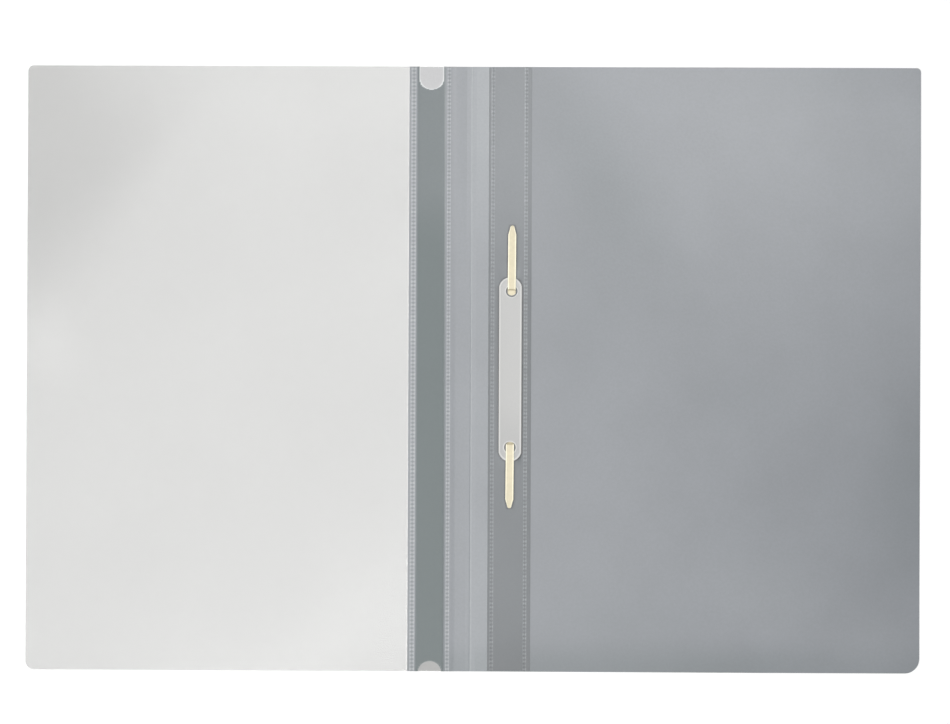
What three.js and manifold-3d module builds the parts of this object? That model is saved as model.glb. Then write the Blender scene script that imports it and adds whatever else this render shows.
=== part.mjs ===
// A fastener folder for punched A4 sheets, lying open on its outside.
// Millimetres. The crease runs along Y, the head is at +Y, the clear front cover lies at -X and the
// grey back cover at +X. Z is up, out of the inside faces, and z = 0 is the surface it lies on.
import * as THREE from "three";
import { mergeVertices } from "three/addons/utils/BufferGeometryUtils.js";
import Module from "manifold-3d";

const wasm = await Module();
wasm.setup();

// Covers
const HEIGHT = 310;
const FRONT_WIDTH = 228;
const BACK_WIDTH = 230;
const CLEAR_THICKNESS = 0.18;
const SHEET_THICKNESS = 0.25;
const FRONT_HEAD_CORNER = 3;
const FRONT_TAIL_CORNER = 4.6;
const BACK_HEAD_CORNER = 2.2;
const BACK_TAIL_CORNER = 7.5;

// Crease: the grey sheet bends within CREASE_REACH each side of the score
const CREASE_REACH = 2.5;
const SCORE_WIDTH = 0.9;
const SCORE_DEPTH = 0.09;

// Weld marks: rows of lozenge pits pressed into the upper film
const MARK_PITCH = 1.985;
const MARK_LENGTH = 1.3;
const MARK_DEPTH = 0.09;
const MARK_MARGIN = 0.3;

// Label pocket: the grey sheet laps over the clear film and is welded to it in two rows.
// Distances are from the crease, towards the front cover.
const LABEL_FLAP = 32.1;
const OUTER_WELD = 29.9;
const OUTER_MARK_WIDTH = 2.2;
const INNER_WELD = 11.9;
const INNER_MARK_WIDTH = 1.5;
const CLEAR_LAP = 1.3;
const OUTER_RISE = 0.9;
const INNER_RISE = 1.6;
const LABEL_THICKNESS = 0.2;
const LABEL_SHORTFALL = 1.6;
const LABEL_SIDE_PLAY = 0.2;
const NOTCH_WIDTH = 11.9;
const HEAD_NOTCH_DEPTH = 11.6;
const JOGGLE = 1.2;

// Fastener strip: a film welded on to the back cover over the fastener's base
const FASTENER_X = 20.4;
const FASTENER_Y = 1.1;
const STRIP_THICKNESS = 0.2;
const STRIP_SHORTFALL = 0.6;
const STRIP_NEAR_MARGIN = 11.6;
const STRIP_FAR_MARGIN = 10.4;
const NEAR_WELD_INSET = 1.9;
const NEAR_MARK_WIDTH = 1.9;
const FAR_WELD_INSET = 2.9;
const FAR_MARK_WIDTH = 1.8;
const STRIP_FADE = 12;

// Fastener: one coated steel strip with both ends turned up as prongs
const PUNCH_PITCH = 80;
const PRONG_SHORTFALL = 0.8;
const PRONG_WIDTH = 4.2;
const PRONG_LENGTH = 33.1;
const TIP_LENGTH = 4.6;
const NOSE_WIDTH = 2;
const NOSE_LENGTH = 0.8;
const NOSE_FLAT = 0.7;
const METAL_THICKNESS = 0.4;
const HEM_THICKNESS = 0.55;
const BEND_RADIUS = 0.2;
const FOLD_RADIUS = 0.4;

// Hold-down bar: drops over both prongs, which are then folded outwards on to it
const BAR_WIDTH = 12;
const BAR_THICKNESS = 0.9;
const BAR_END = 7.2;
const BAR_END_RADIUS = 6.05;
const BAR_EDGE_ROUND = 0.4;
const BAR_EDGE_DROP = 0.28;
const HOLE_PLAY = 1.5;
const STRIP_HOLE_PLAY = 0.6;
const STRIP_HOLE_SHIFT = 0.65;

// Clearance between pieces that lie on each other
const FIT = 0.05;

// The back cover's free face for the sheets begins this far beyond the fastener strip
const SEAT_MARGIN = 1.2;

// Steps of a round or a ramp
const RAMP_STEPS = 4;
const CORNER_STEPS = 6;
const ROUND_STEPS = 8;

// Places that follow from the sizes above
const CREASE_X = (FRONT_WIDTH - BACK_WIDTH) / 2;
const HALF_HEIGHT = HEIGHT / 2;
const FRONT_EDGE_X = CREASE_X - FRONT_WIDTH;
const BACK_EDGE_X = CREASE_X + BACK_WIDTH;
const POCKET_LIFT = LABEL_THICKNESS + 2 * FIT;
const LABEL_OUTER_X = CREASE_X - OUTER_WELD + OUTER_MARK_WIDTH / 2 + OUTER_RISE;
const LABEL_INNER_X = CREASE_X - INNER_WELD - INNER_MARK_WIDTH / 2 - INNER_RISE;
const LABEL_CENTRE_X = (LABEL_OUTER_X + LABEL_INNER_X) / 2;
const PRONG_X = CREASE_X + FASTENER_X;
const STRIP_NEAR_X = PRONG_X - STRIP_NEAR_MARGIN;
const STRIP_FAR_X = PRONG_X + STRIP_FAR_MARGIN;
const NEAR_WELD_X = STRIP_NEAR_X + NEAR_WELD_INSET;
const FAR_WELD_X = STRIP_FAR_X - FAR_WELD_INSET;
const RISER_REACH = (PUNCH_PITCH - PRONG_SHORTFALL) / 2;
const BASE_Z = SHEET_THICKNESS + FIT;
const STRIP_LIFT = METAL_THICKNESS + 2 * FIT;
const BAR_Z = SHEET_THICKNESS + STRIP_LIFT + STRIP_THICKNESS + FIT;
const BAR_TOP_Z = BAR_Z + BAR_THICKNESS;
const HOLE_RADIUS = (PRONG_WIDTH + HOLE_PLAY) / 2;
const FOLD_Z = BAR_TOP_Z + FIT + HEM_THICKNESS / 2;

// The bar lies at the lower end of its play: the prong's flat meets the hole where its chord is as
// wide as the prong, and the bar's centre follows from that.
const HOLE_SLACK = Math.sqrt(HOLE_RADIUS ** 2 - (PRONG_WIDTH / 2) ** 2) - METAL_THICKNESS / 2 - FIT;
const BAR_Y = FASTENER_Y + PRONG_SHORTFALL / 2 - HOLE_SLACK;

// Solids and booleans

// A closed geometry as a manifold-3d solid, with shared vertices merged.
function solidOf(geometry) {
  const bare = geometry.clone();
  bare.deleteAttribute("normal");
  bare.deleteAttribute("uv");
  const merged = mergeVertices(bare, 1e-4);
  return new wasm.Manifold(
    new wasm.Mesh({
      numProp: 3,
      vertProperties: merged.attributes.position.array,
      triVerts: new Uint32Array(merged.index.array),
    }),
  );
}

// A manifold-3d solid back as a geometry.
function geometryOf(solid) {
  const mesh = solid.getMesh();
  return meshGeometry(mesh.vertProperties, mesh.triVerts);
}

function meshGeometry(positions, triangles) {
  const geometry = new THREE.BufferGeometry();
  geometry.setAttribute("position", new THREE.Float32BufferAttribute(positions, 3));
  geometry.setIndex(new THREE.Uint32BufferAttribute(triangles, 1));
  geometry.computeVertexNormals();
  return geometry;
}

function cut(geometry, ...tools) {
  const left = tools.reduce((body, tool) => body.subtract(solidOf(tool)), solidOf(geometry));
  return geometryOf(left);
}

function join(geometry, ...others) {
  const whole = others.reduce((body, other) => body.add(solidOf(other)), solidOf(geometry));
  return geometryOf(whole);
}

// Forms

// A flat plate of a shape in XY, between two heights.
function plate(shape, low, high) {
  const geometry = new THREE.ExtrudeGeometry(shape, {
    depth: high - low,
    bevelEnabled: false,
    curveSegments: ROUND_STEPS,
  });
  return geometry.translate(0, 0, low);
}

// A flat plate made of convex regions side by side, between two heights. Neighbours share whole
// edges, and each region keeps its own faces.
function panel(regions, low, high) {
  const points = [];
  const triangles = [];
  const walls = new Map();
  const layer = regions.reduce((count, region) => count + region.length, 0);
  const rows = regions.flat();
  for (const z of [low, high]) {
    for (const { x, y } of rows) points.push(x, y, z);
  }
  let first = 0;
  for (const region of regions) {
    for (const [a, b, c] of THREE.ShapeUtils.triangulateShape(region, [])) {
      triangles.push(first + a, first + c, first + b);
      triangles.push(layer + first + a, layer + first + b, layer + first + c);
    }
    for (let i = 0; i < region.length; i++) {
      const a = first + i;
      const b = first + ((i + 1) % region.length);
      const key = (from, to) => [from, to].map((n) => `${rows[n].x},${rows[n].y}`).join(" ");
      if (!walls.delete(key(b, a))) walls.set(key(a, b), [a, b]);
    }
    first += region.length;
  }
  for (const [a, b] of walls.values()) {
    triangles.push(a, b, layer + b, a, layer + b, layer + a);
  }
  return meshGeometry(points, triangles);
}

// A section in XZ carried along Y for a length, centred on y = 0.
function extrudeAlongY(section, length) {
  const shape = new THREE.Shape(section.map(([x, z]) => new THREE.Vector2(x, z)));
  const geometry = new THREE.ExtrudeGeometry(shape, { depth: length, bevelEnabled: false });
  geometry.translate(0, 0, -length / 2);
  return geometry.rotateX(Math.PI / 2);
}

// A section in YZ carried along X for a length, centred on x = 0.
function extrudeAlongX(shape, length) {
  const geometry = new THREE.ExtrudeGeometry(shape, {
    depth: length,
    bevelEnabled: false,
    curveSegments: ROUND_STEPS,
  });
  geometry.translate(0, 0, -length / 2);
  const turn = new THREE.Matrix4().makeBasis(
    new THREE.Vector3(0, 1, 0),
    new THREE.Vector3(0, 0, 1),
    new THREE.Vector3(1, 0, 0),
  );
  return geometry.applyMatrix4(turn);
}

// The points of a half cosine wave from one height to another, ends included.
function ramp(fromX, toX, fromZ, toZ, steps = RAMP_STEPS) {
  return Array.from({ length: steps + 1 }, (_, i) => {
    const share = (1 - Math.cos((Math.PI * i) / steps)) / 2;
    return [fromX + ((toX - fromX) * i) / steps, fromZ + (toZ - fromZ) * share];
  });
}

// A film's section: its underside from left to right, and the same line one thickness higher.
function filmSection(underside, thickness) {
  const upper = underside.map(([x, z]) => [x, z + thickness]).reverse();
  return [...underside, ...upper];
}

// Rings of equal point counts, skinned from the first to the last and closed by flat ends.
function loft(rings) {
  const count = rings[0].length;
  const points = rings.flat();
  const triangles = [];
  for (let r = 0; r + 1 < rings.length; r++) {
    for (let i = 0; i < count; i++) {
      const a = r * count + i;
      const b = r * count + ((i + 1) % count);
      triangles.push(a, b, b + count, a, b + count, a + count);
    }
  }
  const last = (rings.length - 1) * count;
  for (let i = 1; i + 1 < count; i++) {
    triangles.push(0, i + 1, i);
    triangles.push(last, last + i, last + i + 1);
  }
  return meshGeometry(points.flat(), triangles);
}

// A film of constant thickness over a grid of stations, lifted by lift(x, y) above a height.
function gridFilm(xs, ys, low, thickness, lift) {
  const points = [];
  const triangles = [];
  for (const top of [0, thickness]) {
    for (const y of ys) {
      for (const x of xs) points.push(x, y, low + lift(x, y) + top);
    }
  }
  const columns = xs.length;
  const layer = columns * ys.length;
  const at = (i, j, up) => up * layer + j * columns + i;
  const quad = (a, b, c, d) => triangles.push(a, b, c, a, c, d);
  for (let j = 0; j + 1 < ys.length; j++) {
    for (let i = 0; i + 1 < columns; i++) {
      quad(at(i, j, 1), at(i + 1, j, 1), at(i + 1, j + 1, 1), at(i, j + 1, 1));
      quad(at(i, j, 0), at(i, j + 1, 0), at(i + 1, j + 1, 0), at(i + 1, j, 0));
    }
  }
  const right = columns - 1;
  const far = ys.length - 1;
  for (let i = 0; i + 1 < columns; i++) {
    quad(at(i, 0, 0), at(i + 1, 0, 0), at(i + 1, 0, 1), at(i, 0, 1));
    quad(at(i + 1, far, 0), at(i, far, 0), at(i, far, 1), at(i + 1, far, 1));
  }
  for (let j = 0; j + 1 < ys.length; j++) {
    quad(at(right, j, 0), at(right, j + 1, 0), at(right, j + 1, 1), at(right, j, 1));
    quad(at(0, j + 1, 0), at(0, j, 0), at(0, j, 1), at(0, j + 1, 1));
  }
  return meshGeometry(points, triangles);
}

// One row of weld marks along the whole height: upside-down pyramids on lozenge bases, which stand
// a little over the film's face so that the cut is clean.
function weldMarks(x, width, faceZ, length) {
  const count = Math.floor((length - MARK_LENGTH) / MARK_PITCH);
  const rim = MARK_DEPTH / 3;
  const grow = 1 + rim / MARK_DEPTH;
  const points = [];
  const triangles = [];
  for (let i = 0; i < count; i++) {
    const y = (i - (count - 1) / 2) * MARK_PITCH;
    const halfX = (width / 2) * grow;
    const halfY = (MARK_LENGTH / 2) * grow;
    const first = points.length / 3;
    points.push(x + halfX, y, faceZ + rim, x, y + halfY, faceZ + rim);
    points.push(x - halfX, y, faceZ + rim, x, y - halfY, faceZ + rim);
    points.push(x, y, faceZ - MARK_DEPTH);
    triangles.push(first, first + 1, first + 2, first, first + 2, first + 3);
    for (let side = 0; side < 4; side++) {
      triangles.push(first + 4, first + ((side + 1) % 4), first + side);
    }
  }
  return meshGeometry(points, triangles);
}

// A cover's outline: square at the spine and a quarter round at each of the two fore corners. It is
// drawn towards +X from the spine, and mirrored for the cover that lies at -X.
function coverOutline(spineX, foreX, headCorner, tailCorner) {
  const width = Math.abs(foreX - spineX);
  const way = Math.sign(foreX - spineX);
  const drawn = new THREE.Path();
  drawn.moveTo(0, -HALF_HEIGHT);
  drawn.lineTo(width - tailCorner, -HALF_HEIGHT);
  drawn.absarc(width - tailCorner, tailCorner - HALF_HEIGHT, tailCorner, -Math.PI / 2, 0, false);
  drawn.absarc(width - headCorner, HALF_HEIGHT - headCorner, headCorner, 0, Math.PI / 2, false);
  drawn.lineTo(0, HALF_HEIGHT);
  const points = withoutRepeats(drawn.getPoints(CORNER_STEPS));
  const placed = points.map(({ x, y }) => new THREE.Vector2(spineX + way * x, y));
  return way > 0 ? placed : placed.reverse();
}

// An outline's points without the ones that lie on the point before them.
function withoutRepeats(points) {
  const apart = 1e-6;
  return points.filter((point, i) => point.distanceTo(points.at(i - 1)) > apart);
}

// Pieces

function frontCover() {
  const spineX = CREASE_X - INNER_WELD + CLEAR_LAP;
  const outline = coverOutline(spineX, FRONT_EDGE_X, FRONT_HEAD_CORNER, FRONT_TAIL_CORNER);
  return plate(new THREE.Shape(outline), 0, CLEAR_THICKNESS);
}

// The grey sheet's front part: flat from the crease, stepped up on to the clear film, down on it at
// both welds and lifted between them over the label, with a thumb notch at each end.
function labelStrip() {
  const hingeX = CREASE_X - CREASE_REACH;
  const lapX = CREASE_X - INNER_WELD + CLEAR_LAP;
  const innerWeldX = CREASE_X - INNER_WELD - INNER_MARK_WIDTH / 2 - MARK_MARGIN;
  const outerWeldX = CREASE_X - OUTER_WELD + OUTER_MARK_WIDTH / 2 + MARK_MARGIN;
  const high = CLEAR_THICKNESS + POCKET_LIFT;
  const underside = [
    [CREASE_X - LABEL_FLAP, CLEAR_THICKNESS],
    ...ramp(outerWeldX, LABEL_OUTER_X - LABEL_SIDE_PLAY, CLEAR_THICKNESS, high),
    ...ramp(LABEL_INNER_X + LABEL_SIDE_PLAY, innerWeldX, high, CLEAR_THICKNESS),
    ...ramp(lapX + FIT, lapX + JOGGLE, CLEAR_THICKNESS, 0),
    [hingeX, 0],
  ];
  const sheet = extrudeAlongY(filmSection(underside, SHEET_THICKNESS), HEIGHT);
  const face = CLEAR_THICKNESS + SHEET_THICKNESS;
  return cut(
    sheet,
    thumbNotch(1, HEAD_NOTCH_DEPTH),
    thumbNotch(-1, NOTCH_WIDTH / 2),
    weldMarks(CREASE_X - OUTER_WELD, OUTER_MARK_WIDTH, face, HEIGHT),
    weldMarks(CREASE_X - INNER_WELD, INNER_MARK_WIDTH, face, HEIGHT),
  );
}

// The cutter of a thumb notch at the head (end = 1) or the tail (end = -1): a slot with a round end.
function thumbNotch(end, depth) {
  const radius = NOTCH_WIDTH / 2;
  const centreY = HALF_HEIGHT - depth + radius;
  const outline = new THREE.Shape();
  outline.absarc(LABEL_CENTRE_X, centreY, radius, Math.PI, 2 * Math.PI, false);
  outline.lineTo(LABEL_CENTRE_X + radius, HALF_HEIGHT + radius);
  outline.lineTo(LABEL_CENTRE_X - radius, HALF_HEIGHT + radius);
  const cutter = plate(outline, 0, CLEAR_THICKNESS + POCKET_LIFT + 2 * SHEET_THICKNESS);
  if (end > 0) return cutter;
  cutter.translate(-LABEL_CENTRE_X, 0, 0);
  cutter.rotateZ(Math.PI);
  return cutter.translate(LABEL_CENTRE_X, 0, 0);
}

function labelInsert() {
  const half = (HEIGHT - LABEL_SHORTFALL) / 2;
  const outline = new THREE.Shape();
  outline.moveTo(LABEL_OUTER_X, -half);
  outline.lineTo(LABEL_INNER_X, -half);
  outline.lineTo(LABEL_INNER_X, half);
  outline.lineTo(LABEL_OUTER_X, half);
  const low = CLEAR_THICKNESS + FIT;
  return plate(outline, low, low + LABEL_THICKNESS);
}

// The part of the grey sheet that bends, thinned by a scored groove in its inside face.
function spineCrease() {
  const half = SCORE_WIDTH / 2;
  const top = SHEET_THICKNESS;
  const section = [
    [CREASE_X - CREASE_REACH, 0],
    [CREASE_X + CREASE_REACH, 0],
    [CREASE_X + CREASE_REACH, top],
    [CREASE_X + half, top],
    [CREASE_X + half / 3, top - SCORE_DEPTH],
    [CREASE_X - half / 3, top - SCORE_DEPTH],
    [CREASE_X - half, top],
    [CREASE_X - CREASE_REACH, top],
  ];
  return extrudeAlongY(section, HEIGHT);
}

// The back cover in two regions: the one under the fastener strip and the free face for the sheets.
function backCover() {
  const hingeX = CREASE_X + CREASE_REACH;
  const seatX = STRIP_FAR_X + SEAT_MARGIN;
  const margin = [
    new THREE.Vector2(hingeX, -HALF_HEIGHT),
    new THREE.Vector2(seatX, -HALF_HEIGHT),
    new THREE.Vector2(seatX, HALF_HEIGHT),
    new THREE.Vector2(hingeX, HALF_HEIGHT),
  ];
  const seat = coverOutline(seatX, BACK_EDGE_X, BACK_HEAD_CORNER, BACK_TAIL_CORNER);
  return panel([margin, seat], 0, SHEET_THICKNESS);
}

// The film over the fastener's base: flat on the back cover at both welds, lifted in a low ridge
// over the base, which fades out beyond the prongs.
function fastenerStrip() {
  const nearFlatX = NEAR_WELD_X + NEAR_MARK_WIDTH / 2 + MARK_MARGIN;
  const farFlatX = FAR_WELD_X - FAR_MARK_WIDTH / 2 - MARK_MARGIN;
  const crown = PRONG_WIDTH / 2 + 2 * FIT;
  const reach = RISER_REACH + HOLE_RADIUS;
  const up = ramp(nearFlatX, PRONG_X - crown, 0, 1);
  const down = ramp(PRONG_X + crown, farFlatX, 1, 0);
  const across = [[STRIP_NEAR_X, 0], ...up, ...down, [STRIP_FAR_X, 0]];
  const half = (HEIGHT - STRIP_SHORTFALL) / 2;
  const rise = ramp(FASTENER_Y - reach - STRIP_FADE, FASTENER_Y - reach, 0, 1);
  const fall = ramp(FASTENER_Y + reach, FASTENER_Y + reach + STRIP_FADE, 1, 0);
  const along = [[-half, 0], ...rise, ...fall, [half, 0]];
  const shareX = new Map(across);
  const shareY = new Map(along);
  const film = gridFilm(
    across.map(([x]) => x),
    along.map(([y]) => y),
    SHEET_THICKNESS,
    STRIP_THICKNESS,
    (x, y) => STRIP_LIFT * shareX.get(x) * shareY.get(y),
  );
  const face = SHEET_THICKNESS + STRIP_THICKNESS;
  const length = HEIGHT - STRIP_SHORTFALL;
  return cut(
    film,
    stripHole(1),
    stripHole(-1),
    weldMarks(NEAR_WELD_X, NEAR_MARK_WIDTH, face, length),
    weldMarks(FAR_WELD_X, FAR_MARK_WIDTH, face, length),
  );
}

// The cutter of the film's hole round a prong's foot. It shows the base inside of the prong.
function stripHole(end) {
  const radius = (PRONG_WIDTH + STRIP_HOLE_PLAY) / 2;
  const y = FASTENER_Y + end * (RISER_REACH - STRIP_HOLE_SHIFT);
  const outline = new THREE.Shape();
  outline.absarc(PRONG_X, y, radius, 0, 2 * Math.PI, false);
  return plate(outline, 0, BAR_Z);
}

// The fastener's base with its two risers: the strip's section, bent up at both ends.
function fastenerBase() {
  const t = METAL_THICKNESS;
  const outer = BEND_RADIUS + t;
  const end = RISER_REACH + t / 2;
  const inner = RISER_REACH - t / 2;
  const low = BASE_Z;
  const high = FOLD_Z - FOLD_RADIUS - FIT;
  const section = new THREE.Shape();
  section.moveTo(-end, high);
  section.absarc(outer - end, low + outer, outer, Math.PI, 1.5 * Math.PI, false);
  section.absarc(end - outer, low + outer, outer, 1.5 * Math.PI, 2 * Math.PI, false);
  section.lineTo(end, high);
  section.lineTo(inner, high);
  section.absarc(inner - BEND_RADIUS, low + outer, BEND_RADIUS, 0, -Math.PI / 2, true);
  section.absarc(BEND_RADIUS - inner, low + outer, BEND_RADIUS, -Math.PI / 2, -Math.PI, true);
  section.lineTo(-inner, high);
  return extrudeAlongX(section, PRONG_WIDTH).translate(PRONG_X, FASTENER_Y, 0);
}

// A prong's section at one station: a thin web between two rounded hems, drawn in to a share of the
// full width.
function prongRing(y, share) {
  const hem = HEM_THICKNESS / 2;
  const web = METAL_THICKNESS / 2;
  const open = Math.PI - Math.asin(web / hem);
  const centre = PRONG_WIDTH / 2 - hem;
  const ring = [];
  for (const side of [1, -1]) {
    for (let i = 0; i <= ROUND_STEPS; i++) {
      const angle = open - (2 * open * i) / ROUND_STEPS;
      const x = side * share * (centre + hem * Math.cos(angle));
      ring.push([x, y, side * hem * Math.sin(angle)]);
    }
  }
  return ring;
}

// A prong lying flat, from its fold at y = 0 towards +Y: hemmed sides, a straight taper and a round
// nose, which is an ellipse cut off flat where it is NOSE_FLAT wide.
function prong() {
  const end = PRONG_LENGTH - FOLD_RADIUS;
  const rings = [prongRing(0, 1), prongRing(end - TIP_LENGTH, 1)];
  const blunt = Math.acos(NOSE_FLAT / NOSE_WIDTH);
  for (let i = 0; i <= ROUND_STEPS; i++) {
    const angle = (blunt * i) / ROUND_STEPS;
    const y = end - NOSE_LENGTH * (1 - Math.sin(angle) / Math.sin(blunt));
    rings.push(prongRing(y, (NOSE_WIDTH / PRONG_WIDTH) * Math.cos(angle)));
  }
  const fold = new THREE.Shape();
  fold.absarc(0, 0, FOLD_RADIUS, 0, 2 * Math.PI, false);
  return join(loft(rings), extrudeAlongX(fold, PRONG_WIDTH));
}

function prongAt(end) {
  const piece = prong();
  if (end < 0) piece.rotateZ(Math.PI);
  return piece.translate(PRONG_X, FASTENER_Y + end * RISER_REACH, FOLD_Z);
}

// The bar: straight sides, nearly half-round ends and a hole for each prong, all edges rounded over.
function holdDownBar() {
  const halfWidth = BAR_WIDTH / 2;
  const halfLength = PUNCH_PITCH / 2 + BAR_END;
  const endRadius = Math.max(BAR_END_RADIUS, halfWidth);
  const opening = Math.asin(halfWidth / endRadius);
  const upper = Math.PI / 2;
  const outline = new THREE.Shape();
  outline.absarc(0, halfLength - endRadius, endRadius, upper - opening, upper + opening, false);
  outline.absarc(0, endRadius - halfLength, endRadius, -upper - opening, opening - upper, false);
  for (const end of [1, -1]) {
    const hole = new THREE.Path();
    hole.absarc(0, (end * PUNCH_PITCH) / 2, HOLE_RADIUS, 0, 2 * Math.PI, true);
    outline.holes.push(hole);
  }
  const bar = new THREE.ExtrudeGeometry(outline, {
    depth: BAR_THICKNESS - 2 * BAR_EDGE_DROP,
    curveSegments: ROUND_STEPS,
    bevelThickness: BAR_EDGE_DROP,
    bevelSize: BAR_EDGE_ROUND,
    bevelOffset: -BAR_EDGE_ROUND,
    bevelSegments: 2,
  });
  return bar.translate(PRONG_X, BAR_Y, BAR_Z + BAR_EDGE_DROP);
}

// Assembly

const FINISHES = {
  clearFilm: { color: 0xe4e6e6, roughness: 0.25, metalness: 0, transparent: true, opacity: 0.45 },
  greyFilm: { color: 0xa2a7aa, roughness: 0.5, metalness: 0 },
  card: { color: 0xe8e8e6, roughness: 0.9, metalness: 0 },
  coatedSteel: { color: 0xe8deb8, roughness: 0.4, metalness: 0 },
  barPlastic: { color: 0xcfd0ce, roughness: 0.45, metalness: 0 },
};

function piece(name, geometry, finish) {
  const mesh = new THREE.Mesh(geometry, new THREE.MeshStandardMaterial(finish));
  mesh.name = name;
  return mesh;
}

const frontHalf = new THREE.Group();
frontHalf.add(
  piece("front_cover", frontCover(), FINISHES.clearFilm),
  piece("label_strip", labelStrip(), FINISHES.greyFilm),
  piece("label_insert", labelInsert(), FINISHES.card),
);

const backHalf = new THREE.Group();
backHalf.add(
  piece("spine_crease", spineCrease(), FINISHES.greyFilm),
  piece("back_cover", backCover(), FINISHES.greyFilm),
  piece("fastener_strip", fastenerStrip(), FINISHES.greyFilm),
);

const fastener = new THREE.Group();
fastener.add(
  piece("fastener_base", fastenerBase(), FINISHES.coatedSteel),
  piece("prong_top", prongAt(1), FINISHES.coatedSteel),
  piece("prong_bottom", prongAt(-1), FINISHES.coatedSteel),
  piece("hold_down_bar", holdDownBar(), FINISHES.barPlastic),
);

const folder = new THREE.Group();
folder.add(frontHalf, backHalf, fastener);

export default folder;
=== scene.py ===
"""The looks of an A4 fastener folder, lying open on its outside and seen from straight above.

Lengths are in millimetres up to the point where a mesh is made, and colours are sRGB hex values.
The crease runs along Y, the clear cover lies at -X, the grey cover at +X, and Z is up.
"""

import logging
import math
from dataclasses import dataclass
from enum import Enum
from typing import Sequence

import bpy
import numpy as np
from mathutils import Euler, Matrix, Vector
from mathutils.geometry import tessellate_polygon


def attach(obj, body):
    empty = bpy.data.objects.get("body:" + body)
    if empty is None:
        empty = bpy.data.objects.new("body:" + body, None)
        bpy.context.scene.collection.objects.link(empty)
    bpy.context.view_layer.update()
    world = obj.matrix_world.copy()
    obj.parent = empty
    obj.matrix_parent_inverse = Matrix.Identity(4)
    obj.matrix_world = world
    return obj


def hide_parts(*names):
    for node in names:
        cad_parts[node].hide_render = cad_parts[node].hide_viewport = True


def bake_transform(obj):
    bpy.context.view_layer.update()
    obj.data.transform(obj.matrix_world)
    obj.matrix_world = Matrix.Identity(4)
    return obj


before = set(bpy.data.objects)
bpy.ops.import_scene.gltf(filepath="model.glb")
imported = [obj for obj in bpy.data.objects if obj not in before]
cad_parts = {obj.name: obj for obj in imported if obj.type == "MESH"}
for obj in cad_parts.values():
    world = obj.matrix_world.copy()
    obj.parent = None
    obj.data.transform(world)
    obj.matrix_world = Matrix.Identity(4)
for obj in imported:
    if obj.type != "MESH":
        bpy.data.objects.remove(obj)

LOG = logging.getLogger("fastener_folder")
MM = 0.001
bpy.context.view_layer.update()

Array = np.ndarray
Object = bpy.types.Object
Node = bpy.types.Node
Tree = bpy.types.NodeTree

# A shader node with the name or the number of one of its outputs
Output = tuple[Node, str | int]

# An attribute's name and the colour that it stands for
Tints = tuple[tuple[str, str], ...]

# The start, the end and the number of steps of a stretch of a grid
Span = tuple[float, float, int]

# The height, the start and the end of a smooth step
Step = tuple[float, float, float]

# A place in two directions, or a start and an end
Pair = tuple[float, float]


class Body(str, Enum):
    """The folder's rigid bodies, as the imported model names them."""

    BACK = "back"
    FRONT = "front"
    LABEL = "label"
    HEAD_PRONG = "top_prong"
    TAIL_PRONG = "bottom_prong"
    BAR = "bar"


class End(Enum):
    """The two ends of the spine, with the sign that each has along Y."""

    HEAD = 1
    TAIL = -1


class Slot(str, Enum):
    """The record's material slots."""

    CLEAR_FILM = "clear_film"
    GREY_FILM = "grey_film"
    STRIP_FILM = "strip_film"
    LABEL_PAPER = "label_paper"
    COATED_STEEL = "coated_steel"
    BAR_PLASTIC = "bar_plastic"


# Materials


def linear(colour: str) -> tuple[float, float, float, float]:
    """Turns an sRGB hex colour to linear light.

    Args:
        colour: six hex digits after a hash sign.

    Returns:
        Red, green, blue and an alpha of one.
    """
    shares = [int(colour[i : i + 2], 16) / 255 for i in (1, 3, 5)]
    lit = [s / 12.92 if s <= 0.04045 else ((s + 0.055) / 1.055) ** 2.4 for s in shares]
    return (*lit, 1.0)


def add_node(
    tree: Tree,
    kind: str,
    settings: dict | None = None,
    values: dict | None = None,
    links: dict | None = None,
) -> Node:
    """Adds one shader node.

    Args:
        tree: the material's or world's node tree.
        kind: Blender's name of the node.
        settings: properties of the node by name.
        values: values of its input sockets by name or number.
        links: for each input socket, the node and the output socket that feed it.

    Returns:
        The new node.
    """
    node = tree.nodes.new(kind)
    for name, value in (settings or {}).items():
        setattr(node, name, value)
    for key, value in (values or {}).items():
        node.inputs[key].default_value = value
    for key, (source, output) in (links or {}).items():
        tree.links.new(source.outputs[output], node.inputs[key])
    return node


@dataclass(frozen=True)
class Texture:
    """A noise pattern of a surface, whose patches have its size in millimetres. It multiplies the
    colour by the first tone where the noise has the spread's first value and by the second where it
    has the last, and it stands out of the surface by its relief in millimetres."""

    size: float
    detail: float = 2.0
    tones: Pair = (1.0, 1.0)
    relief: float = 0.0
    roughness: float = 0.55
    spread: Pair = (0.35, 0.65)

    def put(self, tree: Tree, shader: Node, colour: Output) -> Output:
        """Adds the texture to a material.

        Args:
            tree: the material's node tree.
            shader: its surface shader.
            colour: the output that holds the colour so far.

        Returns:
            The output that holds the colour from here on.
        """
        place = add_node(tree, "ShaderNodeTexCoord")
        values = {"Scale": 1 / (self.size * MM), "Detail": self.detail, "Roughness": self.roughness}
        noise = add_node(tree, "ShaderNodeTexNoise", None, values, {"Vector": (place, "Object")})
        if self.relief:
            values = {"Strength": 1.0, "Distance": self.relief * MM}
            bump = add_node(tree, "ShaderNodeBump", None, values, {"Height": (noise, "Fac")})
            tree.links.new(bump.outputs["Normal"], shader.inputs["Normal"])
        if self.tones[0] == self.tones[1]:
            return colour
        ends = dict(zip(("From Min", "From Max", "To Min", "To Max"), self.spread + self.tones))
        grey = add_node(tree, "ShaderNodeMapRange", None, ends, {"Value": (noise, "Fac")})
        settings = {"data_type": "RGBA", "blend_type": "MULTIPLY"}
        links = {6: colour, 7: (grey, "Result")}
        return add_node(tree, "ShaderNodeMix", settings, {"Factor": 1.0}, links), 2


Textures = tuple[Texture, ...]


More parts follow.
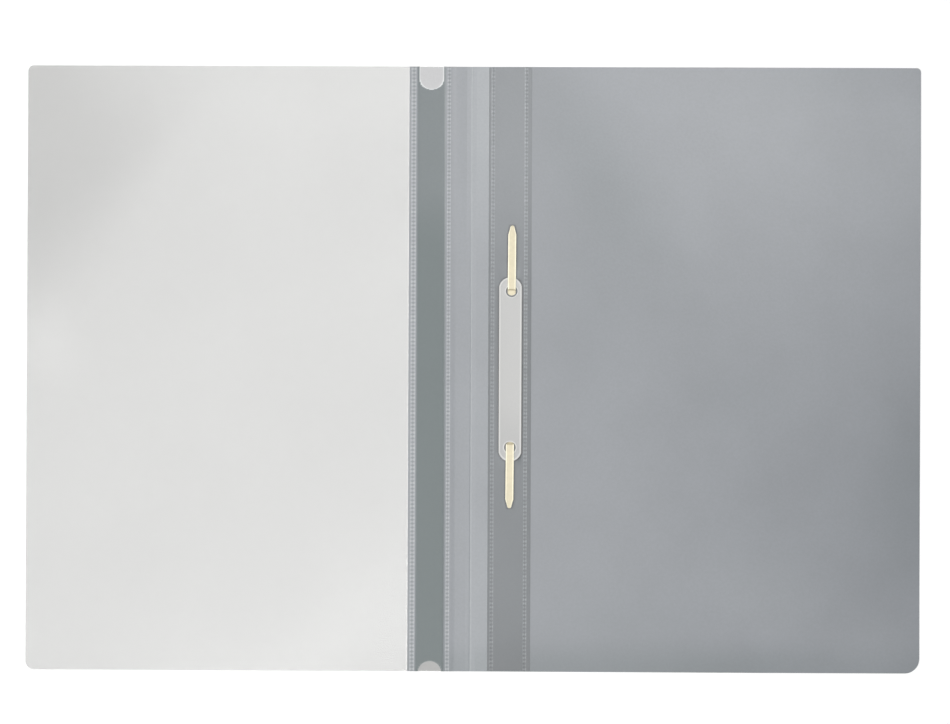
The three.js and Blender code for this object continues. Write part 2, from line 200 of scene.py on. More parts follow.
@dataclass(frozen=True)
class Finish:
    """A surface finish: what it is made of and how that looks.

    The colour is turned towards each tint's colour by the mesh's attribute of the tint's name, in
    order, and is then shaded by each texture, the broadest first.
    """

    name: str
    colour: str
    roughness: float
    ior: float = 1.5
    sheen: float = 0.5
    alpha: float = 1.0
    coat: float = 0.0
    coat_roughness: float = 0.03
    tints: Tints = ()
    textures: Textures = ()

    def material(self) -> bpy.types.Material:
        """Makes the Blender material, or gives back the one made before.

        Returns:
            The material.
        """
        if self.name in bpy.data.materials:
            return bpy.data.materials[self.name]
        made = bpy.data.materials.new(self.name)
        made.use_nodes = True
        made.diffuse_color = linear(self.colour)
        tree = made.node_tree
        shader = tree.nodes["Principled BSDF"]
        values = {
            "Base Color": linear(self.colour),
            "Roughness": self.roughness,
            "IOR": self.ior,
            "Specular IOR Level": self.sheen,
            "Alpha": self.alpha,
            "Coat Weight": self.coat,
            "Coat Roughness": self.coat_roughness,
        }
        for key, value in values.items():
            shader.inputs[key].default_value = value
        tone = add_node(tree, "ShaderNodeRGB")
        tone.outputs[0].default_value = linear(self.colour)
        source = (tone, "Color")
        for attribute, colour in self.tints:
            share = add_node(tree, "ShaderNodeAttribute", {"attribute_name": attribute})
            links = {"Factor": (share, "Fac"), 6: source}
            ends = {7: linear(colour)}
            source = add_node(tree, "ShaderNodeMix", {"data_type": "RGBA"}, ends, links), 2
        for texture in self.textures:
            source = texture.put(tree, shader, source)
        tree.links.new(source[0].outputs[source[1]], shader.inputs["Base Color"])
        return made


# A grain finer than the render's pixels, of about half a millimetre, wouldn't show, so none of these
# grains, fibres and roller marks is drawn finer than that, even where the real one is


@dataclass(frozen=True)
class ClearFilm(Finish):
    """Calendered clear polypropylene film: the ground shows through it, a little greyed by clouds of
    haze, and its smooth face mirrors the soft lights in broad, blurred patches. It turns paler where
    it is welded, and in painted highlights on the swells that face a light."""

    alpha: float = 0.3
    sheen: float = 1.0
    tints: Tints = (("welded", "#f4f4f2"),)
    textures: Textures = (
        Texture(size=55.0, tones=(0.975, 1.02)),
        Texture(size=1.1, relief=0.006),
    )


@dataclass(frozen=True)
class GreyFilm(Finish):
    """Grey polypropylene film with clouds in its pigment and an embossed orange-peel grain. It is
    lighter where two films are welded into one and darker in its pressed pits. Painted highlights
    pale it beside the spine, on the crease and its score, on the label pocket's bends, on swells
    that face a light and on the notches' cut edges. Painted shade darkens it over the label,
    towards the tail and on swells that face away from a light."""

    sheen: float = 0.65
    tints: Tints = (
        ("apart", "#3b4a4b"),
        ("welded", "#a8acae"),
        ("pressed", "#4d5256"),
        ("cut", "#eceeee"),
    )
    textures: Textures = (
        Texture(size=48.0, tones=(0.965, 1.03)),
        Texture(size=1.25, detail=3.0, tones=(0.975, 1.025), relief=0.03),
    )


@dataclass(frozen=True)
class StripFilm(GreyFilm):
    """The thinner grey strip film, with a finer grain. It is nearly black in its pressed pits and in
    the painted contact shadows round the bar and the prongs.
    """

    tints: Tints = (
        ("apart", "#4a5054"),
        ("welded", "#a8acae"),
        ("pressed", "#1f2224"),
        ("cut", "#eceeee"),
    )
    textures: Textures = (
        Texture(size=48.0, tones=(0.965, 1.03)),
        Texture(size=0.9, detail=3.0, tones=(0.975, 1.025), relief=0.03),
    )


@dataclass(frozen=True)
class MattBoard(Finish):
    """Matt white painted board, so even that it gives the eye nothing but light and soft shadows,
    with a barely visible paint grain."""

    textures: Textures = (Texture(size=3.0, tones=(0.995, 1.0)),)


@dataclass(frozen=True)
class LabelPaper(Finish):
    """Uncoated white label paper: matt, with a faint fibre cloud, and greyer towards its tail end in
    a painted shade."""

    tints: Tints = (("handled", "#a8a8a7"),)
    textures: Textures = (
        Texture(size=0.8, detail=4.0, tones=(0.97, 1.02), relief=0.01),
    )


@dataclass(frozen=True)
class LacqueredSteel(Finish):
    """Cold-rolled steel strip under cream stoving lacquer: a soft gloss, warmer patches where the
    coat is thick over the roller's marks, and a paler line of painted highlight along the rolled
    edges."""

    coat: float = 0.35
    coat_roughness: float = 0.18
    tints: Tints = (("rubbed", "#fbf6dc"),)
    textures: Textures = (Texture(size=1.6, tones=(0.95, 1.03), relief=0.012),)


@dataclass(frozen=True)
class MouldedPlastic(Finish):
    """Injection-moulded light grey plastic: a satin face, finely eroded by the mould's texture, with
    painted highlights on its edges and the rims of its holes, and a fainter one on its face."""

    tints: Tints = (("rubbed", "#c6c6c4"),)
    textures: Textures = (
        Texture(size=0.5, detail=3.0, tones=(0.98, 1.015), relief=0.008),
    )


CLEAR = ClearFilm("clear_polypropylene_film", "#b3b3b1", 0.17, ior=1.56)
GREY = GreyFilm("embossed_grey_polypropylene", "#73777c", 0.33)
STRIP = StripFilm("welded_grey_strip_film", "#656a6e", 0.3)
PAPER = LabelPaper("uncoated_label_paper", "#bcbcbd", 0.9)
STEEL = LacqueredSteel("cream_lacquered_steel", "#c7bd9e", 0.34)
PLASTIC = MouldedPlastic("satin_moulded_plastic", "#a5a5a4", 0.42)
BENCH = MattBoard("matt_white_board", "#f3f3f3", 0.9)


# Meshes


def make_object(
    name: str,
    points: Array,
    faces: Sequence[Sequence[int]],
    finish: Finish,
    shares: dict[str, Array] | None = None,
    crease: float = 35.0,
) -> Object:
    """Makes a mesh object at the origin.

    Args:
        name: the piece's name.
        points: one row of x, y, z in millimetres for each vertex.
        faces: the vertex numbers of each face, anticlockwise seen from outside.
        finish: what it is made of.
        shares: for each named attribute, one number for each vertex.
        crease: the angle in degrees from which an edge stays sharp.

    Returns:
        The object.
    """
    mesh = bpy.data.meshes.new(name)
    mesh.from_pydata((points * MM).tolist(), [], faces)
    mesh.polygons.foreach_set("use_smooth", np.ones(len(mesh.polygons), bool))
    mesh.set_sharp_from_angle(angle=math.radians(crease))
    for key, values in (shares or {}).items():
        layer = mesh.attributes.new(key, "FLOAT", "POINT")
        layer.data.foreach_set("value", values.astype(np.float32).ravel())
    mesh.materials.append(finish.material())
    made = bpy.data.objects.new(name, mesh)
    bpy.context.scene.collection.objects.link(made)
    return made


def stations(*spans: Span) -> Array:
    """Joins evenly divided spans into one rising row of places.

    Args:
        spans: the start, the end and the number of steps of each span.

    Returns:
        The places, each one once.
    """
    rows = [np.linspace(start, end, steps + 1) for start, end, steps in spans]
    return np.unique(np.round(np.concatenate(rows), 6))


def smooth(values: Array, start: float, end: float) -> Array:
    """A smooth step: nought before start, one after end, and 3t squared less 2t cubed between. It
    falls along the axis where its end lies before its start."""
    t = np.clip((values - start) / (end - start), 0, 1)
    return t * t * (3 - 2 * t)


def ramps(values: Array, *steps: Step) -> Array:
    """Adds up smooth steps, each given by its height, its start and its end."""
    return sum(height * smooth(values, start, end) for height, start, end in steps)


def tube(numbers: Array) -> list[list[int]]:
    """Lays four-sided faces between neighbouring rings of vertices.

    Args:
        numbers: the vertex numbers, one ring in each row.

    Returns:
        The faces.
    """
    after = np.roll(numbers, -1, 1)
    faces = np.stack([numbers[:-1], after[:-1], after[1:], numbers[1:]], -1)
    return faces.reshape(-1, 4).tolist()


def bell(values: Array, middle: float, width: float) -> Array:
    """A bell curve: e to the power of minus the square of the distance from its middle in widths."""
    return np.exp(-(((values - middle) / width) ** 2))


@dataclass
class Film:
    """A thin sheet over a grid of stations. Cells may be left out, and the underside and the upper
    face are heights over the grid, so the sheet is a function of its two grid numbers."""

    x: Array
    y: Array
    low: Array
    high: Array
    keep: Array

    @classmethod
    def over(cls, xs: Array, ys: Array) -> "Film":
        """Starts a flat sheet.

        Args:
            xs: the stations across.
            ys: the stations along.

        Returns:
            A sheet without heights in which every cell is kept.
        """
        x, y = np.meshgrid(xs, ys)
        keep = np.ones((len(ys) - 1, len(xs) - 1), bool)
        return cls(x, y, np.zeros_like(x), np.zeros_like(x), keep)

    def cut_slot(self, centre: Pair, radius: float, way: int) -> Array:
        """Cuts a round hole, or a slot with a round end that runs out along Y.

        Cells whose middle lies in the opening go. A vertex between a cell that went and one that
        stayed moves on to the outline: radially on the round end, and straight across on the sides.

        Args:
            centre: the middle of the round end.
            radius: its radius.
            way: 1 or -1 where the slot runs out that way along Y, or 0 for a hole.

        Returns:
            A mark for each vertex on the cut.
        """
        dx, dy = self.x - centre[0], self.y - centre[1]
        straight = way * dy > 0
        reach = np.where(straight, np.abs(dx), np.hypot(dx, dy))
        middle = (reach[:-1, :-1] + reach[1:, :-1] + reach[:-1, 1:] + reach[1:, 1:]) / 4
        gone = middle < radius
        rim = self._touches(gone) & self._touches(self.keep & ~gone)
        # The smallest reach only keeps the share finite at the centre, which has gone by then
        share = radius / np.maximum(reach, radius / 8)
        self.x = np.where(rim, centre[0] + dx * share, self.x)
        self.y = np.where(rim & ~straight, centre[1] + dy * share, self.y)
        self.keep &= ~gone
        return rim

    @staticmethod
    def _touches(cells: Array) -> Array:
        """Marks each vertex that is a corner of a marked cell."""
        wide = np.pad(cells, 1)
        return wide[:-1, :-1] | wide[1:, :-1] | wide[:-1, 1:] | wide[1:, 1:]

    def piece(self, name: str, finish: Finish, **shares: Array) -> Object:
        """Closes the sheet and makes it an object: upper face, underside, and a wall on every edge
        that only one cell has.

        Args:
            name: the piece's name.
            finish: what it is made of.
            shares: for each named attribute, one number for each place in the grid.

        Returns:
            The object.
        """
        rows, columns = self.x.shape
        number = np.arange(rows * columns).reshape(rows, columns)
        corners = (number[:-1, :-1], number[:-1, 1:], number[1:, 1:], number[1:, :-1])
        upper = np.stack([c[self.keep] for c in corners], 1)
        count = rows * columns
        start = upper.ravel()
        end = np.roll(upper, -1, 1).ravel()
        lone = ~np.isin(end * count + start, start * count + end)
        a, b = start[lone], end[lone]
        walls = np.stack([a + count, b + count, b, a], 1)
        faces = np.concatenate([upper, upper[:, ::-1] + count, walls])
        used, renumbered = np.unique(faces, return_inverse=True)
        flat = [np.stack([self.x, self.y, z], -1) for z in (self.high, self.low)]
        points = np.concatenate(flat).reshape(-1, 3)[used]
        levels = {key: values.ravel()[used % count] for key, values in shares.items()}
        return make_object(name, points, renumbered.reshape(faces.shape).tolist(), finish, levels)


@dataclass(frozen=True)
class WeldRow:
    """A row of lozenge pits that a toothed roller has pressed into the upper film, with a network
    of pale lands between them."""

    x: float
    width: float
    glow: float
    land: float
    pit: float
    pitch: float = 1.985
    depth: float = 0.09
    blur: float = 0.3
    fade: Pair = (1.15, 0.8)
    floor: float = 0.25
    unevenness: float = 0.28
    beats: Pair = (1.7, 0.37)

    def _lozenge(self, x: Array, y: Array) -> Array:
        """How far out each point is from the middle of its tooth: the share of half the width
        across plus the share of half the pitch along, which is one on the lozenge's outline.

        Args:
            x: the points' places across.
            y: the points' places along.

        Returns:
            The sum of the two shares.
        """
        across = np.abs(x - self.x) / (self.width / 2)
        tooth = y / self.pitch
        return across + 2 * np.abs(tooth - np.round(tooth))

    def _inside(self, x: Array) -> Array:
        """The row's own strip: one in its middle, with edges that fade by a smooth step."""
        return smooth(np.abs(x - self.x) / (self.width / 2), *self.fade)

    def pale(self, x: Array, y: Array) -> Array:
        """How pale each point is: an even glow over the row, plus the lands outside the lozenges.

        Each land's strength differs a little, by the product of a quick and a slow sine.

        Args:
            x: the points' places across.
            y: the points' places along.

        Returns:
            The paleness.
        """
        tooth = np.round(y / self.pitch + 0.5) + self.x
        quick, slow = self.beats
        beat = np.sin(tooth * quick) * np.sin(tooth * slow + 1)
        strength = 1 - self.unevenness * (1 - beat)
        land = smooth(self._lozenge(x, y), 1 - self.blur, 1 + self.blur)
        return self._inside(x) * (self.glow + self.land * strength * land)

    def pits(self, x: Array, y: Array) -> Array:
        """How deep each point is pressed: one in a lozenge's middle, nought from its outline on."""
        return smooth(self._lozenge(x, y), 1.0, self.floor)

    def pressed(self, x: Array, y: Array) -> Array:
        """How dark each point is for being pressed: the depth, times the row's strength."""
        return self.pit * self.pits(x, y)

    def steps(self, beside: float = 0.15, count: int = 8) -> Span:
        """The grid's span over the row.

        Args:
            beside: how far it reaches past the marks on each side.
            count: the number of steps.

        Returns:
            The start, the end and the number of steps.
        """
        reach = self.width / 2 + beside
        return self.x - reach, self.x + reach, count


def marks(rows: Sequence[WeldRow], x: Array, y: Array) -> list[Array]:
    """Adds up the marks of several rows.

    Args:
        rows: the rows.
        x: the points' places across.
        y: the points' places along.

    Returns:
        The pits, the paleness and the darkness of the pressed film at each point.
    """
    kinds = (WeldRow.pits, WeldRow.pale, WeldRow.pressed)
    return [sum(kind(row, x, y) for row in rows) for kind in kinds]


@dataclass(frozen=True)
class Layout:
    """The sizes that several pieces share."""

    crease_x: float = -1.0
    half_height: float = 155.0
    crease_reach: float = 2.5
    clear_thickness: float = 0.18
    sheet_thickness: float = 0.25
    strip_thickness: float = 0.2
    steel_thickness: float = 0.4
    fit: float = 0.05
    prong_x: float = 19.4
    prong_length: float = 32.7
    prong_shoulder: float = 28.1
    fastener_y: float = 1.1
    riser_reach: float = 39.6
    fold_z: float = 2.225
    riser_top: float = 1.62
    askew: float = 0.0075
    bar_y: float = -0.177
    bar_half_length: float = 47.2
    bar_half_width: float = 5.88
    bar_offset: float = -0.28
    rows_per_mark: int = 5
    tail_reach: float = 21.0

    def spine_highlight(self, y: Array) -> Array:
        """How strong the painted highlight beside the crease is: it rises towards the head and a
        little towards the tail."""
        return ramps(y, (1.0, 50.0, 122.0), (0.35, -70.0, -120.0))

    def at_tail(self, y: Array) -> Array:
        """How near each point is to the tail edge: one on it, fading to nought by a smooth step."""
        return smooth(y + self.half_height, self.tail_reach, 0)

    def rows(self, length: float, pitch: float) -> Array:
        """The stations along a welded film: a whole number of steps for each weld mark.

        Args:
            length: the film's length.
            pitch: the way from mark to mark.

        Returns:
            The stations.
        """
        step = pitch / self.rows_per_mark
        reach = int(length / 2 / step)
        inner = np.arange(-reach, reach + 1) * step
        return np.unique(np.concatenate([[-length / 2], inner, [length / 2]]))


LAYOUT = Layout()


@dataclass(frozen=True)
class Swell:
    """A long, soft swell of a cover, too low to model as a shape. It shows only by its tone, because
    it turns the film a little towards a light or away from it."""

    x: float
    y: float
    length: float
    width: float
    turn: float
    tone: float

    def at(self, x: Array, y: Array) -> Array:
        """The swell's tone at each point, a bell curve along it and across it: more than nought is
        paler and less is darker.

        Args:
            x: the points' places across.
            y: the points' places along.

        Returns:
            The tones.
        """
        away_x, away_y = x - self.x, y - self.y
        along = away_x * math.cos(self.turn) + away_y * math.sin(self.turn)
        across = away_y * math.cos(self.turn) - away_x * math.sin(self.turn)
        return self.tone * bell(along, 0, self.length) * bell(across, 0, self.width)


@dataclass
class Cover:
    """A cover: a thin film with two rounded fore corners, which lies in long, low waves."""

    spine_x: float
    fore_x: float
    thickness: float
    head_corner: float
    tail_corner: float
    calm: float
    wave: float
    turn: float
    pale: Pair
    paleness: float
    spine_highlight_share: float = 0.0
    tail_shade_share: float = 0.0
    swells: tuple[Swell, ...] = ()
    tail_shade_fade: Pair = (120.0, 210.0)
    tail_shade_loss: float = 0.6
    wave_lengths: tuple[float, float, float] = (31.0, 22.0, 90.0)
    columns: int = 64
    rows: int = 90
    corner_rows: int = 10

    def _along(self) -> Array:
        """The stations along the cover, closer where a corner is round.

        Returns:
            The stations.
        """
        half = LAYOUT.half_height
        quarter = np.linspace(0, np.pi / 2, self.corner_rows + 1)
        head = half - self.head_corner * (1 - np.sin(quarter))
        tail = self.tail_corner * (1 - np.sin(quarter)) - half
        middle = np.linspace(tail.max(), head.min(), self.rows)
        return np.unique(np.round(np.concatenate([tail, middle, head]), 6))

    def _fore_edge(self, y: Array) -> Array:
        """How far the fore edge steps back at each station: a quarter circle at each corner.

        Args:
            y: the stations.

        Returns:
            The steps back.
        """
        back = np.zeros_like(y)
        for end, radius in ((End.HEAD, self.head_corner), (End.TAIL, self.tail_corner)):
            into = np.clip(end.value * y - LAYOUT.half_height + radius, 0, radius)
            back += radius - np.sqrt(radius**2 - into**2)
        return back

    def _waves(self, x: Array, y: Array) -> Array:
        """The height of the underside: seven tenths of a sine wave and three tenths of one across
        it, both raised so that their lowest points lie on the ground. They fade to nought within a
        calm zone beside the spine, and are full from three times as far away.

        Args:
            x: the points' places across.
            y: the points' places along.

        Returns:
            The heights.
        """
        away = np.abs(x - self.spine_x)
        slant = x * math.cos(self.turn) + y * math.sin(self.turn)
        cross = y * math.cos(self.turn) - x * math.sin(self.turn)
        long, short, drift = self.wave_lengths
        first = 0.5 + 0.5 * np.sin(slant / long + 0.7)
        second = 0.5 + 0.5 * np.sin(cross / short + slant / drift)
        return self.wave * (0.7 * first + 0.3 * second) * smooth(away, self.calm, 3 * self.calm)

    def build(self, name: str, finish: Finish) -> Object:
        """Makes the cover.

        A point's place across runs evenly from the spine to the fore edge of its own row, and the
        columns of both covers run towards +X.

        Args:
            name: the piece's name.
            finish: what it is made of.

        Returns:
            The object.
        """
        even = np.linspace(0, 1, self.columns + 1)
        pale = (np.array(self.pale) - self.spine_x) / (self.fore_x - self.spine_x)
        share = np.unique(np.round(np.concatenate([even, pale]), 9))
        ys = self._along()
        sheet = Film.over(share, ys)
        way = 1 if self.fore_x > self.spine_x else -1
        reach = self.fore_x - way * self._fore_edge(ys) - self.spine_x
        sheet.x = (self.spine_x + sheet.x * reach[:, None])[:, ::way]
        sheet.y = sheet.y[:, ::way]
        sheet.low = self._waves(sheet.x, sheet.y)
        sheet.high = sheet.low + self.thickness
        away = np.abs(sheet.x - self.spine_x)
        # The swells' tones are painted sheen and shade: paler ones join the welds-and-highlights
        # share and darker ones the painted shade. The zone beside the spine is paler too, a painted
        # highlight on the grey cover where the sheet turns at the crease.
        tones = sum(swell.at(sheet.x, sheet.y) for swell in self.swells)
        welded = self.paleness + self.spine_highlight_share * LAYOUT.spine_highlight(sheet.y)
        welded = welded * smooth(away, *self._pale_reach()) + np.maximum(tones, 0)
        # Painted shade towards the tail edge, weaker far from the spine.
        apart = self.tail_shade_share * LAYOUT.at_tail(sheet.y)
        apart = apart * (1 - self.tail_shade_loss * smooth(away, *self.tail_shade_fade))
        return sheet.piece(name, finish, welded=welded, apart=apart + np.maximum(-tones, 0))

    def _pale_reach(self) -> Pair:
        """How far from the spine the pale zone has faded, and how far from it the fading starts."""
        near, far = sorted(abs(place - self.spine_x) for place in self.pale)
        return far, near


@dataclass
class ClearFront:
    """The clear front cover, which runs in under the grey sheet's lap."""

    fore_x: float = -229.0
    spine_x: float = -11.6

    def build(self) -> list[Object]:
        """Makes and dresses the clear cover.

        Returns:
            The pieces.
        """
        cover = Cover(
            self.spine_x,
            self.fore_x,
            LAYOUT.clear_thickness,
            head_corner=3.0,
            tail_corner=4.6,
            calm=25.0,
            wave=0.45,
            turn=0.85,
            pale=(-33.2, -33.6),
            paleness=0.8,
            swells=(
                Swell(-157.0, 106.0, length=38.0, width=11.0, turn=0.92, tone=0.1),
                Swell(-219.0, 15.0, length=20.0, width=14.0, turn=1.57, tone=0.15),
            ),
        )
        piece = cover.build("clear_cover", CLEAR)
        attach(piece, Body.FRONT.value)
        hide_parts("front_cover")
        return [piece]


@dataclass
class LabelPocket:
    """The grey sheet's lap on the clear cover, welded in two rows and lifted over the label."""

    left: float = -33.1
    outer: WeldRow = WeldRow(-30.8, 2.6, glow=0.27, land=0.42, pit=0.5)
    inner: WeldRow = WeldRow(-12.7, 1.9, glow=0.1, land=0.5, pit=0.45)
    lift: float = 0.2
    rise: Pair = (-29.6, -28.15)
    fall: Pair = (-15.25, -13.95)
    bend_glow: float = 0.25
    joggle: Pair = (-11.55, -8.6)
    flat_glow: float = 0.07
    notch_radius: float = 5.95
    head_notch: float = 11.6
    tail_offset: float = 0.75
    shade_loss_at_head: float = 0.26
    shade_loss_along: Pair = (60.0, 100.0)
    tail_shade_share: float = 0.3
    tail_cut: float = 0.15
    card_shortfall: float = 0.3
    card_thickness: float = 0.12
    card_bow: float = 0.02
    bow_length: float = 40.0
    card_shade_reach: Pair = (12.0, 6.0)

    @property
    def middle(self) -> float:
        """The middle of the label across."""
        return (self.rise[1] + self.fall[0]) / 2

    def _film(self) -> Object:
        """Makes the welded film with its two thumb notches. It lies on the clear cover, rises over
        the label, and comes down to the ground before the crease.

        Returns:
            The object.
        """
        right = LAYOUT.crease_x - LAYOUT.crease_reach
        xs = stations(
            (self.left, self.outer.steps()[0], 2),
            self.outer.steps(),
            (*self.rise, 4),
            (self.middle - self.notch_radius, self.middle + self.notch_radius, 16),
            (*self.fall, 4),
            self.inner.steps(count=7),
            (*self.joggle, 4),
            (self.joggle[1], right, 2),
        )
        length = 2 * LAYOUT.half_height
        sheet = Film.over(xs, LAYOUT.rows(length, self.outer.pitch))
        head_y = LAYOUT.half_height - self.head_notch + self.notch_radius
        rim = sheet.cut_slot((self.middle, head_y), self.notch_radius, End.HEAD.value)
        tail_y = -LAYOUT.half_height - self.tail_offset
        tail_rim = sheet.cut_slot((self.middle, tail_y), self.notch_radius, End.TAIL.value)
        sheet.y = np.maximum(sheet.y, -LAYOUT.half_height)
        pits, pale, pressed = marks((self.outer, self.inner), sheet.x, sheet.y)
        over_label = smooth(sheet.x, *self.rise) - smooth(sheet.x, *self.fall)
        beside_clear = smooth(sheet.x, *self.joggle)
        sheet.low = self.lift * over_label + LAYOUT.clear_thickness * (1 - beside_clear)
        sheet.high = sheet.low + LAYOUT.sheet_thickness - self.outer.depth * pits
        # Four times t times one less t is one in the middle of the bend and nought at both its ends
        bent = smooth(sheet.x, *self.fall)
        # Painted highlights on the bend down from the label and on the flat beside the clear cover.
        pale += self.bend_glow * 4 * bent * (1 - bent) + self.flat_glow * beside_clear
        # Painted shade over the label, fading towards the head, and more painted shade towards the
        # tail edge.
        apart = over_label * (1 - self.shade_loss_at_head * smooth(sheet.y, *self.shade_loss_along))
        apart += self.tail_shade_share * LAYOUT.at_tail(sheet.y) * (1 - apart)
        # Painted highlights on the notches' cut edges, fainter on the tail notch.
        cut = rim + self.tail_cut * tail_rim
        return sheet.piece("label_pocket", GREY, apart=apart, welded=pale, pressed=pressed, cut=cut)

    def _card(self) -> Object:
        """Makes the label card, which lies a little hollow across its width.

        Returns:
            The object.
        """
        half = LAYOUT.half_height - self.card_shortfall / 2
        left, right = self.rise[1], self.fall[0]
        sheet = Film.over(stations((left, right, 10)), stations((-half, half, 60)))
        across = (sheet.x - self.middle) / (right - left) * 2
        bow = self.card_bow * across**2 * np.cos(sheet.y / self.bow_length) ** 2
        sheet.low = LAYOUT.clear_thickness + LAYOUT.fit + bow
        sheet.high = sheet.low + self.card_thickness
        # Painted shade towards the card's tail end.
        handled = smooth(sheet.y + half, *self.card_shade_reach)
        return sheet.piece("label_card", PAPER, handled=handled)

    def build(self) -> list[Object]:
        """Makes and dresses the pocket's film and the label card in it.

        Returns:
            The pieces.
        """
        film = self._film()
        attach(film, Body.FRONT.value)
        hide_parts("label_strip")
        card = self._card()
        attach(card, Body.LABEL.value)
        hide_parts("label_insert")
        return [film, card]


@dataclass
class GreyBack:
    """The grey sheet's back cover and the scored crease."""

    fore_x: float = 229.0
    score_width: float = 0.4
    score_depth: float = 0.1
    score_glow: float = 0.3
    glow: float = 0.08
    back_glow: float = 0.1
    back_step: float = 0.3
    spine_highlight_share: float = 0.1
    tail_shade_share: float = 0.3
    crease_columns: int = 36
    crease_rows: int = 40

    def _crease(self) -> Object:
        """Makes the scored zone: a flat strip whose upper face sinks by a bell curve at the score.

        Returns:
            The object.
        """
        middle, reach = LAYOUT.crease_x, LAYOUT.crease_reach
        half = LAYOUT.half_height
        sheet = Film.over(
            stations((middle - reach, middle + reach, self.crease_columns)),
            stations((-half, half, self.crease_rows)),
        )
        score = bell(sheet.x, middle, self.score_width)
        sheet.high = LAYOUT.sheet_thickness - self.score_depth * score
        # Painted highlights on the crease: all along it, more on the back cover's side, a bright
        # line on the score, and more towards the head. Painted shade darkens it towards the tail.
        crease_highlight = self.glow + self.back_glow * smooth(sheet.x, middle, middle + self.back_step)
        crease_highlight += self.score_glow * score + self.spine_highlight_share * LAYOUT.spine_highlight(sheet.y)
        apart = self.tail_shade_share * LAYOUT.at_tail(sheet.y)
        return sheet.piece("crease_fold", GREY, welded=crease_highlight, apart=apart)

    def build(self) -> list[Object]:
        """Makes and dresses the back cover and the crease.

        Returns:
            The pieces.
        """
        spine = LAYOUT.crease_x + LAYOUT.crease_reach
        cover = Cover(
            spine,
            self.fore_x,
            LAYOUT.sheet_thickness,
            head_corner=2.2,
            tail_corner=7.5,
            calm=35.0,
            wave=0.4,
            turn=0.6,
            pale=(8.2, 20.0),
            paleness=0.14,
            spine_highlight_share=0.2,
            tail_shade_share=0.4,
            swells=(
                Swell(66.0, 98.0, length=66.0, width=21.0, turn=-1.02, tone=-0.25),
                Swell(57.0, 38.0, length=48.0, width=20.0, turn=1.57, tone=-0.1),
                Swell(227.0, -58.0, length=50.0, width=22.0, turn=1.57, tone=-0.19),
                Swell(80.0, -131.0, length=50.0, width=18.0, turn=0.0, tone=-0.12),
                Swell(145.0, -118.0, length=36.0, width=20.0, turn=0.0, tone=0.09),
                Swell(212.0, -140.0, length=30.0, width=18.0, turn=0.0, tone=0.09),
                Swell(222.0, 108.0, length=42.0, width=16.0, turn=1.57, tone=0.06),
                Swell(176.0, 150.0, length=34.0, width=12.0, turn=0.0, tone=-0.12),
                Swell(133.0, -14.0, length=24.0, width=14.0, turn=0.0, tone=-0.08),
            ),
        )
        back = cover.build("grey_back", GREY)
        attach(back, Body.BACK.value)
        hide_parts("back_cover")
        crease = self._crease()
        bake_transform(crease)
        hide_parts("spine_crease")
        return [back, crease]


